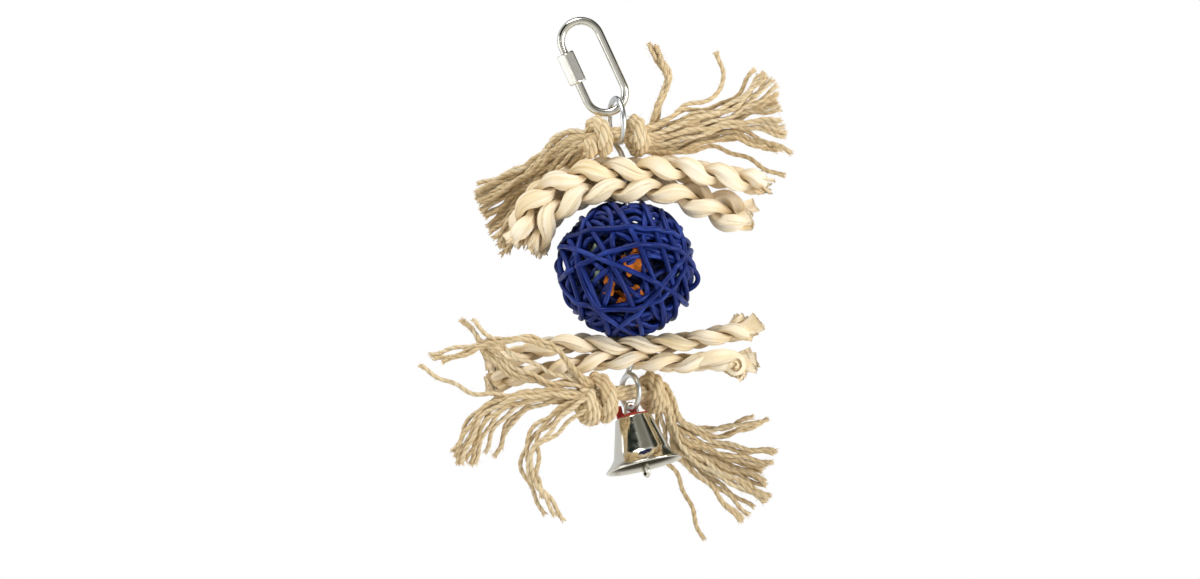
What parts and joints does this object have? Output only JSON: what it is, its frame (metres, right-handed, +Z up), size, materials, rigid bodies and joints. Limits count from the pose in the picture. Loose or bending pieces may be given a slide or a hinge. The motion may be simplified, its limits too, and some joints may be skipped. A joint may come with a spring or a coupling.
{
  "type": "hanging bird toy",
  "caption": "Hanging chew toy for cage birds: a wound rattan ball between plaits of corn husk on a wire, with knotted jute ropes, a bell below and a quick link to hang it by.",
  "frame": {"origin": "inside of the quick link's upper bow, where a cage bar or hook carries the toy", "axes": "+Z up along the hanging wire, +X to the viewer's right, +Y away from the viewer"},
  "size_m": [0.1399, 0.0515, 0.1954],
  "materials": {
    "nickel_plate": "bright nickel plate",
    "galvanised_wire": "dull zinc",
    "jute": "laid three-strand jute, matt",
    "corn_husk": "dry husk, satin with creases",
    "blue_rattan": "dyed round cane, satin",
    "orange_paper": "crinkled paper, matt",
    "green_paper": "crinkled paper, matt",
    "red_fibre": "red fibre, matt"
  },
  "bodies": {
    "link": {"quick_link_body": "nickel_plate"},
    "sleeve": {"quick_link_sleeve": "nickel_plate"},
    "hanger": {"hanger_wire": "galvanised_wire", "top_rope": "jute", "bottom_rope": "jute", "top_rope_left_tail": "jute", "top_rope_right_tail": "jute", "bottom_rope_left_tail": "jute", "bottom_rope_right_tail": "jute"},
    "ball": {"ball_cane_01": "blue_rattan", "ball_cane_02": "blue_rattan", "ball_cane_03": "blue_rattan", "ball_cane_04": "blue_rattan", "ball_cane_05": "blue_rattan", "ball_cane_06": "blue_rattan", "ball_cane_07": "blue_rattan", "ball_cane_08": "blue_rattan", "ball_cane_09": "blue_rattan", "ball_cane_10": "blue_rattan", "ball_cane_11": "blue_rattan", "ball_cane_12": "blue_rattan", "paper_strip_1": "orange_paper", "paper_strip_2": "orange_paper", "paper_strip_3": "orange_paper", "paper_strip_4": "green_paper", "paper_strip_5": "green_paper", "paper_strip_6": "orange_paper"},
    "plait_1": {"plait_1_strand_a": "corn_husk", "plait_1_strand_b": "corn_husk", "plait_1_strand_c": "corn_husk"},
    "plait_2": {"plait_2_strand_a": "corn_husk", "plait_2_strand_b": "corn_husk", "plait_2_strand_c": "corn_husk"},
    "plait_3": {"plait_3_strand_a": "corn_husk", "plait_3_strand_b": "corn_husk", "plait_3_strand_c": "corn_husk"},
    "plait_4": {"plait_4_strand_a": "corn_husk", "plait_4_strand_b": "corn_husk", "plait_4_strand_c": "corn_husk"},
    "bell": {"bell_cup": "nickel_plate", "bell_staple": "nickel_plate", "bell_washer": "red_fibre"},
    "clapper": {"bell_clapper": "nickel_plate"}
  },
  "joints": [
    {"name": "sleeve_slide", "type": "slide", "parent": "link", "child": "sleeve", "axis": [0.3907, 0, -0.9205], "range_m": [0, 0.007]},
    {"name": "toy_swing", "type": "hinge", "parent": "link", "child": "hanger", "pos_m": [0.01448, 0, -0.02929], "axis": [1, 0, 0], "range_deg": [-50, 50]},
    {"name": "ball_spin", "type": "hinge", "parent": "hanger", "child": "ball", "pos_m": [0.01648, 0, -0.09033], "axis": [0, 0, 1], "continuous": true},
    {"name": "plait_1_turn", "type": "hinge", "parent": "hanger", "child": "plait_1", "pos_m": [0.01648, 0, -0.09033], "axis": [0, 0, 1], "range_deg": [-5, 60]},
    {"name": "plait_2_turn", "type": "hinge", "parent": "hanger", "child": "plait_2", "pos_m": [0.01648, 0, -0.09033], "axis": [0, 0, 1], "range_deg": [-5, 60]},
    {"name": "plait_3_turn", "type": "hinge", "parent": "hanger", "child": "plait_3", "pos_m": [0.01648, 0, -0.09033], "axis": [0, 0, 1], "range_deg": [-60, 5]},
    {"name": "plait_4_turn", "type": "hinge", "parent": "hanger", "child": "plait_4", "pos_m": [0.01648, 0, -0.09033], "axis": [0, 0, 1], "range_deg": [-60, 5]},
    {"name": "bell_swing", "type": "hinge", "parent": "hanger", "child": "bell", "pos_m": [0.01648, 0, -0.14221], "axis": [-0.5, 0.866, 0], "range_deg": [-8, 26]},
    {"name": "clapper_swing", "type": "hinge", "parent": "bell", "child": "clapper", "pos_m": [0.01777, -0.00084, -0.14822], "axis": [0.8471, 0.5202, 0.1087], "range_deg": [-32, 32]}
  ]
}
